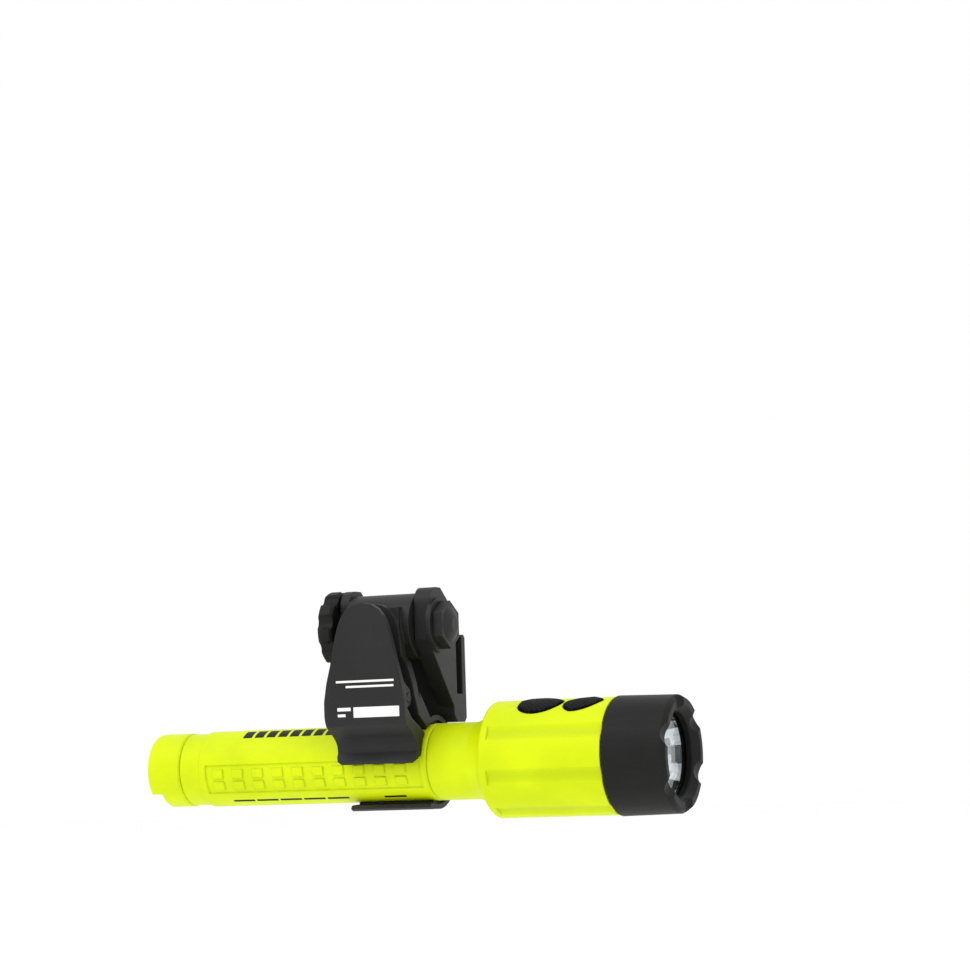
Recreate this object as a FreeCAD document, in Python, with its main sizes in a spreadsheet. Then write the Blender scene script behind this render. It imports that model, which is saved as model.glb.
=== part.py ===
import FreeCAD, Part
import math
import os
import re
import Sketcher

# Firefighter's hand light held in a two-arm clip on a helmet brim clamp.
# +X is the beam, +Z is up, and the origin is the middle of the face that the brim is clamped against.
# Lengths are in millimetres.  Stations along the light are x values, radii are from the light's axis.
SIZES = {
    # where the light and the hinge sit
    "light_y": -10.5, "light_z": -33, "light_roll": 18, "hinge_y": -14.5, "hinge_z": 12, "clip_x": 1,
    "bezel_roll": 8.7,
    # light: stations along the axis
    "tail_x": -88, "cap_front_x": -75.5, "grip_start_x": -67.6, "seam_x": 16.5,
    "neck_end_x": 30.7, "head_start_x": 38.2, "bezel_rear_x": 79.8, "rim_x": 101.7,
    # light: outside radii
    "tube_r": 12.7, "cap_r": 12.4, "band_r": 12.05, "head_r": 19.1, "bezel_r": 19.45, "rim_r": 19.1,
    "wall": 2.5, "screw_gap": 0.3,
    # tail cap and its contact
    "cap_end_wall": 5, "cap_edge_r": 1.6, "cap_bore_r": 10.6, "cap_flat_depth": 4.5, "cap_flat_z": 8,
    "plate_thick": 1.2, "plate_r": 9.5, "spring_foot_r": 7.4, "spring_tip_r": 3, "spring_rise": 4,
    "oring_r": 9.75, "oring_wire_r": 0.8, "tail_oring_x": -77.6,
    # batteries: two AA cells in line
    "cell_start_x": -77.7, "cell_len": 50.5, "cell_r": 7.1, "cell_nub_r": 2.7, "cell_nub_len": 1.4,
    "battery_bore_r": 7.5, "tube_front_x": 25, "front_spigot_r": 10.3, "front_bore_r": 10.6,
    # grip panels
    "panel_start_x": -65.2, "panel_end_x": 14.2, "panel_angle": 46, "panel_depth": 0.5,
    "bump_size": 4, "bump_height": 3, "bump_first_x": -60.7, "bump_pitch": 7.5, "bump_count": 10,
    "bump_z": 2.05,
    # head
    "head_bore_r": 16.6, "neck_bore_r": 8.8, "cavity_start_x": 40.5, "thread_r": 17.2,
    "thread_end_x": 93, "flute_r": 6, "flute_depth": 0.8, "flute_start_x": 40.2, "cone_arc_r": 9,
    "bezel_bore_r": 17.5, "bezel_window_r": 13.8, "notch_r": 4.5, "notch_centre": 2.7, "notch_count": 6,
    "bezel_shoulder_x": 97.4, "bezel_mouth_r": 15.8, "bezel_cone_x": 99.3,
    "bezel_oring_x": 82.2, "bezel_oring_r": 16.75, "bezel_oring_wire_r": 0.7,
    # optics
    "flange_x": 94, "gasket_x": 94.8, "lens_front_x": 97.3, "reflector_rear_x": 78.2,
    "reflector_mouth_r": 15.2, "reflector_rear_r": 4.2, "reflector_arc_r": 22, "reflector_wall": 0.9,
    "sink_post_r": 7.8, "sink_rear_x": 29, "sink_front_x": 76, "sink_flange_x": 43,
    "sink_flange_t": 3, "led_board_t": 1.6, "led_board_r": 7.5, "led_r": 2.6, "contact_front_x": 24.5,
    "contact_r": 4, "driver_t": 1.6, "driver_r": 8.4,
    # switches and buttons
    "board_x0": 48.5, "board_x1": 77.5, "board_half_w": 7, "board_z": 12, "board_t": 1.4,
    "tact_w": 6.2, "tact_h": 1.9, "tact_hole_r": 1.68, "tact_hole_depth": 1.36, "plunger_r": 1.6,
    "plunger_bottom_z": 14.6, "button_bottom_z": 16.3, "button_proud": 0.5, "button_gap": 0.4,
    "rear_switch_x": 56, "front_switch_x": 70.5,
    # flood light window under the head
    "flood_x0": 51.5, "flood_x1": 71.8, "flood_half_w": 7, "flood_lens_z": -17.4,
    "flood_lens_back_z": -15.9, "flood_gasket_t": 0.8, "flood_frame": 1.4, "flood_board_z": -13.6,
    "flood_board_t": 1.4, "flood_led_r": 1.8, "flood_led_h": 1.2,
    # brim bracket
    "ear_r": 12.6, "ear_depth": 6.5, "ear_round": 5.5, "ear_left_x0": -14, "ear_left_x1": -10.8,
    "ear_right_x0": 12.8, "ear_right_x1": 18.3, "ear_ring_r": 9.2, "ear_ring_t": 1.3,
    "front_wall": 2.5, "wall_top_z": 17, "slot": 4.8, "slot_floor_z": -10.4, "floor_bottom_z": -19.8,
    "rear_wall": 2.8, "rear_top_z": 9.5, "boss_r": 6, "boss_len": 5.5, "clamp_x": 1.65, "clamp_z": -0.5,
    "insert_r": 3.5, "clamp_screw_r": 2, "clamp_hole_r": 2.1, "clamp_pad_r": 6, "clamp_pad_t": 1.3,
    "clamp_pad_y": 3.2, "clamp_head_r": 7, "clamp_head_t": 7, "clamp_head_gap": 4.5,
    # hinge bolt and knob
    "bolt_r": 2.95, "bolt_hole_r": 3.03, "bolt_end_x": -18.4, "hex_af": 13.8, "hex_t": 3.4, "dome_h": 1.7,
    "washer_t": 0.8, "washer_r": 8, "knob_t": 5.2, "knob_r": 12.9, "lobe_cut_r": 3, "lobe_centre_r": 14.2,
    "lobes": 9, "knob_hub_r": 7.5, "knob_hub_h": 0.8, "knob_insert_r": 4.6, "knob_insert_len": 3.8,
    # clip
    "clip_half_w": 14.4, "barrel_r": 10.9, "barrel_x0": -10.6, "barrel_x1": 12.6, "neck_half_w": 8.8,
    "arm_front": -17, "arm_back": -13.5, "arm_top": 52.4, "plate_front": -26, "plate_back": -23.5,
    "jaw_in_r": 13.8, "jaw_out_r": 15.5, "pad_in_r": 12.8, "lip_low": -0.1,
    "pivot_u": -20.25, "pivot_v": 21, "pin_r": 1.5, "pin_hole_r": 1.57, "pin_half_len": 13.6,
    "lug_x0": 8.6, "lug_x1": 11, "cheek_x0": 11.3, "cheek_x1": 13.4, "lug_r": 3.2,
    "spring_coil_r": 2.4, "spring_wire_r": 0.4, "spring_half_len": 6.4, "spring_pitch": 1.1,
}

doc = FreeCAD.newDocument("HandLight")
sheet = doc.addObject("Spreadsheet::Sheet", "Sizes")
for row, (alias, value) in enumerate(SIZES.items(), start=1):
    sheet.set("A%d" % row, alias)
    sheet.set("B%d" % row, str(value))
    sheet.setAlias("B%d" % row, alias)
doc.recompute()

NODES = []


def size(expression):
    """Present value of a formula written with the names in the sheet."""
    found = sheet.evalExpression(str(expression))
    return float(getattr(found, "Value", found))


def bound(expression):
    """The same formula with each name pointed at the sheet."""
    return re.sub(r"[A-Za-z_]\w*", lambda m: "Sizes." + m.group(0) if m.group(0) in SIZES else m.group(0),
                  str(expression))


def drive(item, prop, expression):
    """Tie one property to a formula."""
    if "." not in prop:
        value = size(expression)
        setattr(item, prop, int(value) if prop == "Occurrences" else value)
    item.setExpression(prop, bound(expression))


def node(item, label):
    item.Label = label
    NODES.append(item)
    return item


def on_light(item, roll="light_roll"):
    """Seat a piece on the light's axis, rolled so that its buttons face up and outward."""
    item.Placement = FreeCAD.Placement(FreeCAD.Vector(0, size("light_y"), size("light_z")),
                                       FreeCAD.Rotation(FreeCAD.Vector(1, 0, 0), size(roll)))
    item.setExpression("Placement.Base.y", bound("light_y"))
    item.setExpression("Placement.Base.z", bound("light_z"))
    item.setExpression("Placement.Rotation.Angle", bound(roll + " * 1 deg"))
    return item


def at(item, x=0, y=0, z=0):
    """Seat a piece at a point given by formulas."""
    item.Placement = FreeCAD.Placement(FreeCAD.Vector(size(x), size(y), size(z)), FreeCAD.Rotation())
    for axis, expression in zip("xyz", (x, y, z)):
        item.setExpression("Placement.Base." + axis, bound(expression))
    return item


def new_body(name):
    return doc.addObject("PartDesign::Body", name)


def new_sketch(body, name, role, offset=0):
    """Sketch on one of the body's own planes, lifted off it by a formula."""
    sketch = body.newObject("Sketcher::SketchObject", name)
    plane = [f for f in body.Origin.OriginFeatures if getattr(f, "Role", "") == role][0]
    sketch.AttachmentSupport = [(plane, "")]
    sketch.MapMode = "FlatFace"
    if offset != 0:
        sketch.AttachmentOffset = FreeCAD.Placement(FreeCAD.Vector(0, 0, size(offset)), FreeCAD.Rotation())
        sketch.setExpression("AttachmentOffset.Base.z", bound(offset))
    return sketch


def tie(sketch, kind, *args):
    """Add one constraint whose last argument is a formula."""
    index = sketch.addConstraint(Sketcher.Constraint(kind, *args[:-1], size(args[-1])))
    sketch.setExpression("Constraints[%d]" % index, bound(args[-1]))


def outline(sketch, points):
    """Closed outline.  Each point is (u, v) or (u, v, radius): the radius bends the edge that ends there,
    to the left of its direction when positive and to the right when negative."""
    places = [FreeCAD.Vector(size(p[0]), size(p[1]), 0) for p in points]
    first = sketch.GeometryCount
    count = len(points)
    starts = []
    for k in range(count):
        a, b = places[k], places[(k + 1) % count]
        target = points[(k + 1) % count]
        if len(target) == 3:
            radius = size(target[2])
            middle, span = (a + b) * 0.5, b - a
            rise = math.sqrt(max(radius ** 2 - (span.Length / 2) ** 2, 0))
            left = FreeCAD.Vector(-span.y, span.x, 0).normalize()
            centre = middle + left * rise * (1 if radius > 0 else -1)
            ends = [math.atan2(p.y - centre.y, p.x - centre.x) for p in (a, b)]
            if radius < 0:
                ends.reverse()
            circle = Part.Circle(centre, FreeCAD.Vector(0, 0, 1), abs(radius))
            sketch.addGeometry(Part.ArcOfCircle(circle, ends[0], ends[1]), False)
            starts.append((1, 2) if radius > 0 else (2, 1))
        else:
            sketch.addGeometry(Part.LineSegment(a, b), False)
            starts.append((1, 2))
    for k in range(count):
        after = (k + 1) % count
        sketch.addConstraint(Sketcher.Constraint("Coincident", first + k, starts[k][1], first + after,
                                                 starts[after][0]))
        tie(sketch, "DistanceX", -1, 1, first + k, starts[k][0], points[k][0])
        tie(sketch, "DistanceY", -1, 1, first + k, starts[k][0], points[k][1])
        if len(points[after]) == 3:
            tie(sketch, "Radius", first + k, "abs(%s)" % points[after][2])


def rings(sketch, circles):
    """Circles given as (u, v, radius)."""
    for u, v, radius in circles:
        circle = Part.Circle(FreeCAD.Vector(size(u), size(v), 0), FreeCAD.Vector(0, 0, 1), size(radius))
        index = sketch.addGeometry(circle, False)
        tie(sketch, "DistanceX", -1, 1, index, 3, u)
        tie(sketch, "DistanceY", -1, 1, index, 3, v)
        tie(sketch, "Radius", index, radius)


def box_outline(u0, u1, v0, v1):
    return [(u0, v0), (u1, v0), (u1, v1), (u0, v1)]


def turn(body, name, points, cut=False, angle=None, role="XY_Plane"):
    """Turn an (x, radius) outline about the body's x axis."""
    sketch = new_sketch(body, name + "_outline", role)
    outline(sketch, points)
    feature = body.newObject("PartDesign::Groove" if cut else "PartDesign::Revolution", name)
    feature.Profile = sketch
    feature.ReferenceAxis = (sketch, ["H_Axis"])
    feature.Angle = 360
    if angle is not None:
        feature.Midplane = True
        drive(feature, "Angle", angle)
    sketch.Visibility = False
    body.Tip = feature
    return feature


def extrude(body, name, role, length, draw, offset=0, cut=False, back=False, both=False):
    """Pad or pocket whatever draw puts in a sketch; back sends it against the plane's normal."""
    sketch = new_sketch(body, name + "_outline", role, offset)
    draw(sketch)
    feature = body.newObject("PartDesign::Pocket" if cut else "PartDesign::Pad", name)
    feature.Profile = sketch
    drive(feature, "Length", length)
    feature.Midplane = both
    # A pocket runs against the plane's normal on its own, so it is turned the other way.
    feature.Reversed = (not back) if cut else back
    sketch.Visibility = False
    body.Tip = feature
    return feature


def repeat(body, name, feature, kind, count, reach):
    """Repeat a feature along x or around x."""
    pattern = body.newObject("PartDesign::" + kind, name)
    pattern.Originals = [feature]
    x_axis = [f for f in body.Origin.OriginFeatures if getattr(f, "Role", "") == "X_Axis"][0]
    if kind == "LinearPattern":
        pattern.Direction = (x_axis, [""])
        drive(pattern, "Length", reach)
    else:
        pattern.Axis = (x_axis, [""])
        drive(pattern, "Angle", reach)
    drive(pattern, "Occurrences", count)
    body.Tip = pattern
    return pattern


def lathe(name, points):
    """A turned piece on the light's axis."""
    body = new_body(name)
    turn(body, name + "_turned", points)
    on_light(body)
    return node(body, name)


def torus(name, x, radius, wire):
    ring = doc.addObject("Part::Torus", name)
    drive(ring, "Radius1", radius)
    drive(ring, "Radius2", wire)
    spin = FreeCAD.Rotation(FreeCAD.Vector(1, 0, 0), size("light_roll"))
    ring.Placement = FreeCAD.Placement(FreeCAD.Vector(size(x), size("light_y"), size("light_z")),
                                       spin.multiply(FreeCAD.Rotation(FreeCAD.Vector(0, 1, 0), 90)))
    ring.setExpression("Placement.Base.x", bound(x))
    ring.setExpression("Placement.Base.y", bound("light_y"))
    ring.setExpression("Placement.Base.z", bound("light_z"))
    return node(ring, name)


# ---------------------------------------------------------------- light: tail

def tail_cap():
    body = new_body("tail_cap")
    turn(body, "cap", [
        ("tail_x", 0), ("tail_x", "cap_r - cap_edge_r"), ("tail_x + cap_edge_r", "cap_r", "-cap_edge_r"),
        ("cap_front_x - 0.5", "cap_r"), ("cap_front_x", "cap_r - 0.5"), ("cap_front_x", "cap_bore_r"),
        ("tail_x + cap_end_wall", "cap_bore_r"), ("tail_x + cap_end_wall", 0)])
    # The flat under the end gives a lanyard ring room to swing.
    extrude(body, "lanyard_flat", "XY_Plane", "tube_r",
            lambda s: outline(s, box_outline("tail_x - 1", "tail_x + cap_flat_depth", "-tube_r", "tube_r")),
            offset="-cap_flat_z", cut=True, back=True)
    return node(at(body, "0", "light_y", "light_z"), "tail_cap")


def tail_contact():
    plate = "tail_x + cap_end_wall"
    return lathe("tail_contact_plate", [
        (plate, 0), (plate, "plate_r"), (plate + " + plate_thick", "plate_r"), (plate + " + plate_thick", 0)])


def coil(name, start, pitch, height, radius, wire):
    """Round wire wound about the x axis from a station."""
    helix = doc.addObject("Part::Helix", name + "_path")
    drive(helix, "Pitch", pitch)
    drive(helix, "Height", height)
    drive(helix, "Radius", radius)
    section = doc.addObject("Part::Circle", name + "_wire")
    drive(section, "Radius", wire)
    section.Placement = FreeCAD.Placement(FreeCAD.Vector(size(radius), 0, 0),
                                          FreeCAD.Rotation(FreeCAD.Vector(1, 0, 0), 90))
    section.setExpression("Placement.Base.x", bound(radius))
    sweep = doc.addObject("Part::Sweep", name)
    sweep.Sections = [section]
    sweep.Spine = (helix, ["Edge1"])
    sweep.Solid = True
    sweep.Frenet = True
    for item in (helix, section):
        item.Visibility = False
    return sweep, FreeCAD.Rotation(FreeCAD.Vector(0, 1, 0), 90), start


def tail_spring():
    foot = "tail_x + cap_end_wall + plate_thick"
    return lathe("tail_spring", [
        (foot, "spring_foot_r - 0.6"), (foot, "spring_foot_r"), (foot + " + 0.4", "spring_foot_r"),
        (foot + " + spring_rise", "spring_tip_r + 0.5"), (foot + " + spring_rise", "spring_tip_r - 0.6"),
        (foot + " + spring_rise - 0.5", "spring_tip_r - 0.6"),
        (foot + " + spring_rise - 0.5", "spring_tip_r + 0.2")])


def cell(name, rear):
    shoulder = "%s + cell_len - cell_nub_len" % rear
    return lathe(name, [
        (rear, 0), (rear, "cell_r - 0.6"), ("%s + 0.6" % rear, "cell_r"),
        (shoulder + " - 0.6", "cell_r"), (shoulder, "cell_r - 0.6"), (shoulder, "cell_nub_r"),
        ("%s + cell_len" % rear, "cell_nub_r"), ("%s + cell_len" % rear, 0)])


def battery_tube():
    body = new_body("battery_tube")
    groove = "oring_r - oring_wire_r"
    spigot = "cap_bore_r - screw_gap"
    turn(body, "tube", [
        ("cell_start_x - 2", 0), ("cell_start_x - 2", spigot),
        ("tail_oring_x - oring_wire_r", spigot), ("tail_oring_x - oring_wire_r", groove),
        ("tail_oring_x + oring_wire_r", groove), ("tail_oring_x + oring_wire_r", spigot),
        ("cap_front_x + screw_gap", spigot), ("cap_front_x + screw_gap", "band_r"),
        ("grip_start_x - 0.6", "band_r"), ("grip_start_x", "tube_r"),
        ("seam_x - 0.4", "tube_r"), ("seam_x", "tube_r - 0.4"), ("seam_x", "front_spigot_r"),
        ("tube_front_x", "front_spigot_r"), ("tube_front_x", 0)])
    floor_r = "tube_r - panel_depth"
    for side, sign in (("near", "-1"), ("far", "1")):
        turn(body, "panel_" + side, [
            ("panel_start_x", "%s * (%s)" % (sign, floor_r)), ("panel_end_x", "%s * (%s)" % (sign, floor_r)),
            ("panel_end_x", "%s * (tube_r + 1)" % sign), ("panel_start_x", "%s * (tube_r + 1)" % sign)],
            cut=True, angle="panel_angle")

    def bumps(sketch):
        for row in ("bump_z", "-bump_z"):
            u0, u1 = "bump_first_x - bump_size / 2", "bump_first_x + bump_size / 2"
            v0, v1 = "%s - bump_height / 2" % row, "%s + bump_height / 2" % row
            outline(sketch, box_outline(u0, u1, v0, v1))
    first = extrude(body, "grip_bumps", "XZ_Plane", "2 * tube_r + 0.8", bumps, both=True)
    repeat(body, "grip_rows", first, "LinearPattern", "bump_count", "bump_pitch * (bump_count - 1)")
    turn(body, "bump_crown", [
        ("panel_start_x", "tube_r"), ("panel_end_x", "tube_r"),
        ("panel_end_x", "tube_r + 3"), ("panel_start_x", "tube_r + 3")], cut=True)
    turn(body, "battery_bore", [
        ("cell_start_x - 3", 0), ("cell_start_x - 3", "battery_bore_r"),
        ("tube_front_x + 1", "battery_bore_r"), ("tube_front_x + 1", 0)], cut=True)
    on_light(body)
    return node(body, "battery_tube")


# ---------------------------------------------------------------- light: head

# Kidney and leaf outlines of the two keys seen from above, as (x, y) with y toward the far side.
REAR_BUTTON = [
    ("48", "-3.6"), ("52", "-7.2", "5.5"), ("57.6", "-7", "9"), ("62.2", "-4", "9"),
    ("63.6", "-0.4", "5"), ("61.4", "1.4", "2"), ("58.4", "3.4", "-6"), ("54.4", "5.6", "9"),
    ("50.6", "4.2", "4.5"), ("48", "0.4", "6")]
FRONT_BUTTON = [
    ("63.8", "-3.8"), ("66.8", "-7", "5.5"), ("71.2", "-6.4", "8"), ("75", "-3.9", "9"),
    ("77.4", "-0.4", "12"), ("73", "3.4", "9"), ("67.6", "1.4", "12"), ("64.6", "-1.4", "6")]


def shrunk(points, by):
    """The same outline drawn in toward its middle by a formula."""
    us = [size(p[0]) for p in points]
    middle = (min(us) + max(us)) / 2
    moved = []
    for p in points:
        u, v = size(p[0]), size(p[1])
        reach = math.hypot(u - middle, v)
        pull_u, pull_v = (u - middle) / reach, v / reach
        moved.append(("%s - (%s) * %.4f" % (p[0], by, pull_u), "%s - (%s) * %.4f" % (p[1], by, pull_v)))
    return moved


def head_housing():
    body = new_body("head_housing")
    turn(body, "shell", [
        ("seam_x + 0.15", "neck_bore_r"), ("seam_x + 0.15", "tube_r - 0.3"), ("seam_x + 0.5", "tube_r"),
        ("neck_end_x", "tube_r"), ("head_start_x - 1.2", "head_r - 1.6", "cone_arc_r"),
        ("head_start_x", "head_r", "-2.2"),
        ("bezel_rear_x", "head_r"), ("bezel_rear_x", "thread_r"),
        ("bezel_oring_x - bezel_oring_wire_r", "thread_r"),
        ("bezel_oring_x - bezel_oring_wire_r", "bezel_oring_r - bezel_oring_wire_r"),
        ("bezel_oring_x + bezel_oring_wire_r", "bezel_oring_r - bezel_oring_wire_r"),
        ("bezel_oring_x + bezel_oring_wire_r", "thread_r"), ("thread_end_x", "thread_r"),
        ("thread_end_x", "reflector_mouth_r + 0.3"), ("bezel_rear_x + 1", "reflector_mouth_r + 0.3"),
        ("bezel_rear_x - 1", "head_bore_r"),
        ("cavity_start_x + 1.5", "head_bore_r"), ("cavity_start_x - 6", "neck_bore_r")])
    turn(body, "tube_socket", [
        ("seam_x - 1", 0), ("seam_x - 1", "front_bore_r"), ("tube_front_x + 0.1", "front_bore_r"),
        ("tube_front_x + 0.1", 0)], cut=True)

    def flutes(sketch):
        reach = "(head_r + flute_r - flute_depth)"
        for angle in (45, 90, 135, 225, 270, 315):
            rings(sketch, [("%s * %.6f" % (reach, math.sin(math.radians(angle))),
                            "%s * %.6f" % (reach, math.cos(math.radians(angle))), "flute_r")])
    extrude(body, "flutes", "YZ_Plane", "bezel_rear_x - flute_start_x", flutes,
            offset="flute_start_x", cut=True)
    for name, shape in (("rear_button_window", REAR_BUTTON), ("front_button_window", FRONT_BUTTON)):
        extrude(body, name, "XY_Plane", "head_r", lambda s, shape=shape: outline(s, shape),
                offset="board_z", cut=True)
    extrude(body, "flood_window", "XY_Plane", "head_r",
            lambda s: outline(s, box_outline("flood_x0", "flood_x1", "-flood_half_w", "flood_half_w")),
            offset="flood_board_z", cut=True, back=True)
    on_light(body)
    return node(body, "head_housing")


def button(name, shape):
    body = new_body(name)
    extrude(body, name + "_block", "XY_Plane", "head_r - button_bottom_z + 2",
            lambda s: outline(s, shrunk(shape, "button_gap")), offset="button_bottom_z")
    crown = "head_r + button_proud"
    turn(body, name + "_crown", [
        ("board_x0 - 5", crown), ("board_x1 + 5", crown), ("board_x1 + 5", "head_r + 9"),
        ("board_x0 - 5", "head_r + 9")], cut=True)
    on_light(body)
    return node(body, name)


def plunger(name, x):
    body = new_body(name)
    extrude(body, name + "_pin", "XY_Plane", "button_bottom_z - plunger_bottom_z",
            lambda s: rings(s, [(x, "0", "plunger_r")]), offset="plunger_bottom_z")
    on_light(body)
    return node(body, name)


def tact_switch(name, x):
    body = new_body(name)
    extrude(body, name + "_case", "XY_Plane", "tact_h",
            lambda s: outline(s, box_outline(x + " - tact_w / 2", x + " + tact_w / 2",
                                             "-tact_w / 2", "tact_w / 2")),
            offset="board_z + board_t")
    extrude(body, name + "_hole", "XY_Plane", "tact_hole_depth",
            lambda s: rings(s, [(x, "0", "tact_hole_r")]),
            offset="board_z + board_t + tact_h - tact_hole_depth", cut=True)
    on_light(body)
    return node(body, name)


def slab(name, x0, x1, half_width, low, thick):
    """Flat board or window across the head."""
    body = new_body(name)
    extrude(body, name + "_slab", "XY_Plane", thick,
            lambda s: outline(s, box_outline(x0, x1, "-(%s)" % half_width, half_width)), offset=low)
    on_light(body)
    return body


def flood_lights():
    node(slab("flood_lens", "flood_x0", "flood_x1", "flood_half_w", "flood_lens_z",
              "flood_lens_back_z - flood_lens_z"), "flood_lens")
    frame = slab("flood_gasket", "flood_x0", "flood_x1", "flood_half_w", "flood_lens_back_z",
                 "flood_gasket_t")
    extrude(frame, "gasket_opening", "XY_Plane", "flood_gasket_t",
            lambda s: outline(s, box_outline("flood_x0 + flood_frame", "flood_x1 - flood_frame",
                                             "-(flood_half_w - flood_frame)", "flood_half_w - flood_frame")),
            offset="flood_lens_back_z", cut=True)
    node(frame, "flood_gasket")
    node(slab("flood_board", "flood_x0 + 1", "flood_x1 - 1", "flood_half_w - 1", "flood_board_z",
              "flood_board_t"), "flood_board")
    body = new_body("flood_leds")
    bar = "flood_led_h / 2"
    extrude(body, "led_bar", "XY_Plane", bar,
            lambda s: outline(s, box_outline("flood_x0 + 3", "flood_x1 - 3", "-1.4", "1.4")),
            offset="flood_board_z", back=True)
    mid = "(flood_x0 + flood_x1) / 2"
    extrude(body, "led_domes", "XY_Plane", "flood_led_h",
            lambda s: rings(s, [(mid + " - 4.2", "0", "flood_led_r"), (mid + " + 4.2", "0", "flood_led_r")]),
            offset="flood_board_z", back=True)
    on_light(body)
    node(body, "flood_leds")


def optics():
    lathe("front_contact", [
        ("cell_start_x + 2 * cell_len + 0.1", 0), ("cell_start_x + 2 * cell_len + 0.1", "contact_r"),
        ("tube_front_x + 0.2", "contact_r"), ("tube_front_x + 0.2", 0)])
    lathe("driver_board", [
        ("tube_front_x + 0.2", 0), ("tube_front_x + 0.2", "driver_r"),
        ("tube_front_x + 0.2 + driver_t", "driver_r"), ("tube_front_x + 0.2 + driver_t", 0)])
    lathe("heat_sink", [
        ("sink_rear_x", 0), ("sink_rear_x", "sink_post_r"), ("sink_flange_x", "sink_post_r"),
        ("sink_flange_x", "head_bore_r - 0.1"), ("sink_flange_x + sink_flange_t", "head_bore_r - 0.1"),
        ("sink_flange_x + sink_flange_t", "sink_post_r"), ("sink_front_x", "sink_post_r"),
        ("sink_front_x", 0)])
    lathe("led_board", [
        ("sink_front_x", 0), ("sink_front_x", "led_board_r"),
        ("sink_front_x + led_board_t", "led_board_r"), ("sink_front_x + led_board_t", 0)])
    base = "sink_front_x + led_board_t"
    lathe("led_emitter", [
        (base, 0), (base, "led_r"), (base + " + 0.4", "led_r"), (base + " + 0.4 + led_r", 0, "-led_r")])
    lathe("reflector", [
        ("reflector_rear_x", "reflector_rear_r"),
        ("thread_end_x", "reflector_mouth_r - reflector_wall", "-reflector_arc_r"),
        ("flange_x", "reflector_mouth_r - reflector_wall"), ("flange_x", "thread_r"),
        ("thread_end_x", "thread_r"), ("thread_end_x", "reflector_mouth_r"),
        ("reflector_rear_x", "reflector_rear_r + reflector_wall", "reflector_arc_r")])
    lathe("lens_gasket", [
        ("flange_x", "bezel_window_r"), ("flange_x", "thread_r"), ("gasket_x", "thread_r"),
        ("gasket_x", "bezel_window_r")])
    lathe("lens", [
        ("gasket_x", 0), ("gasket_x", "thread_r"), ("lens_front_x", "thread_r"), ("lens_front_x", 0)])


def bezel():
    body = new_body("bezel")
    turn(body, "ring", [
        ("bezel_rear_x + screw_gap", "bezel_bore_r"), ("bezel_rear_x + screw_gap", "bezel_r - 0.5"),
        ("bezel_rear_x + screw_gap + 0.5", "bezel_r"), ("rim_x - 1.6", "rim_r"), ("rim_x", "rim_r - 1"),
        ("rim_x", "bezel_mouth_r"), ("bezel_cone_x", "bezel_window_r"),
        ("bezel_shoulder_x", "bezel_window_r"), ("bezel_shoulder_x", "bezel_bore_r")])
    first = extrude(body, "crown_notch", "XY_Plane", "head_r + 2",
                    lambda s: rings(s, [("rim_x + notch_centre", "0", "notch_r")]), offset="8", cut=True)
    repeat(body, "crown", first, "PolarPattern", "notch_count", "360")
    on_light(body, "bezel_roll")
    return node(body, "bezel")


# ---------------------------------------------------------------- brim bracket

def brim_bracket():
    body = new_body("brim_bracket")
    wide = "ear_right_x1 - ear_left_x0"
    rear = "slot + rear_wall"

    def channel(sketch):
        outline(sketch, [
            ("-front_wall", "wall_top_z"), ("-front_wall", "floor_bottom_z + 2.4"),
            ("-front_wall + 2.4", "floor_bottom_z"), (rear + " - 1.5", "floor_bottom_z"),
            (rear, "floor_bottom_z + 1.5"), (rear, "rear_top_z - 1"), (rear + " - 1", "rear_top_z"),
            ("slot + 0.8", "rear_top_z"), ("slot", "rear_top_z - 0.8"),
            ("slot", "slot_floor_z"), ("0", "slot_floor_z"), ("0", "wall_top_z")])
    extrude(body, "channel", "YZ_Plane", wide, channel, offset="ear_left_x0")
    for side, x0, x1 in (("left", "ear_left_x0", "ear_left_x1"), ("right", "ear_right_x0", "ear_right_x1")):
        extrude(body, "ear_" + side, "YZ_Plane", "%s - (%s)" % (x1, x0), lambda s: outline(s, [
            ("hinge_y - ear_depth", "hinge_z - 5"), ("hinge_y - ear_depth", "hinge_z + ear_r - ear_round"),
            ("hinge_y - ear_depth + ear_round", "hinge_z + ear_r", "-ear_round"),
            ("hinge_y + 3", "hinge_z + ear_r"), ("-1", "wall_top_z"), ("-1", "slot_floor_z - 1"),
            ("3.6", "floor_bottom_z + 0.8"), ("1.4", "floor_bottom_z + 0.8"),
            ("hinge_y - ear_depth + 3", "hinge_z - 9.5")]), offset=x0)
    extrude(body, "ear_ring", "YZ_Plane", "ear_ring_t + 0.5",
            lambda s: rings(s, [("hinge_y", "hinge_z", "ear_ring_r")]), offset="ear_right_x1 - 0.5")
    extrude(body, "clamp_boss", "XZ_Plane", "boss_len",
            lambda s: rings(s, [("clamp_x", "clamp_z", "boss_r")]),
            offset="-(%s)" % rear, back=True)
    extrude(body, "hinge_bore", "YZ_Plane", wide + " + 2 + ear_ring_t",
            lambda s: rings(s, [("hinge_y", "hinge_z", "bolt_hole_r")]), offset="ear_left_x0 - 1", cut=True)
    extrude(body, "insert_bore", "XZ_Plane", "boss_len + rear_wall + 1",
            lambda s: rings(s, [("clamp_x", "clamp_z", "insert_r")]),
            offset="-(slot - 0.5)", cut=True, back=True)
    return node(body, "brim_bracket")


def turned_y(name, points, x, z):
    """A piece turned about a line parallel to y: points are (y, radius)."""
    body = new_body(name)
    sketch = new_sketch(body, name + "_outline", "YZ_Plane")
    outline(sketch, points)
    feature = body.newObject("PartDesign::Revolution", name + "_turned")
    feature.Profile = sketch
    feature.ReferenceAxis = (sketch, ["H_Axis"])
    feature.Angle = 360
    body.Tip = feature
    at(body, x, "0", z)
    return node(body, name)


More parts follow.
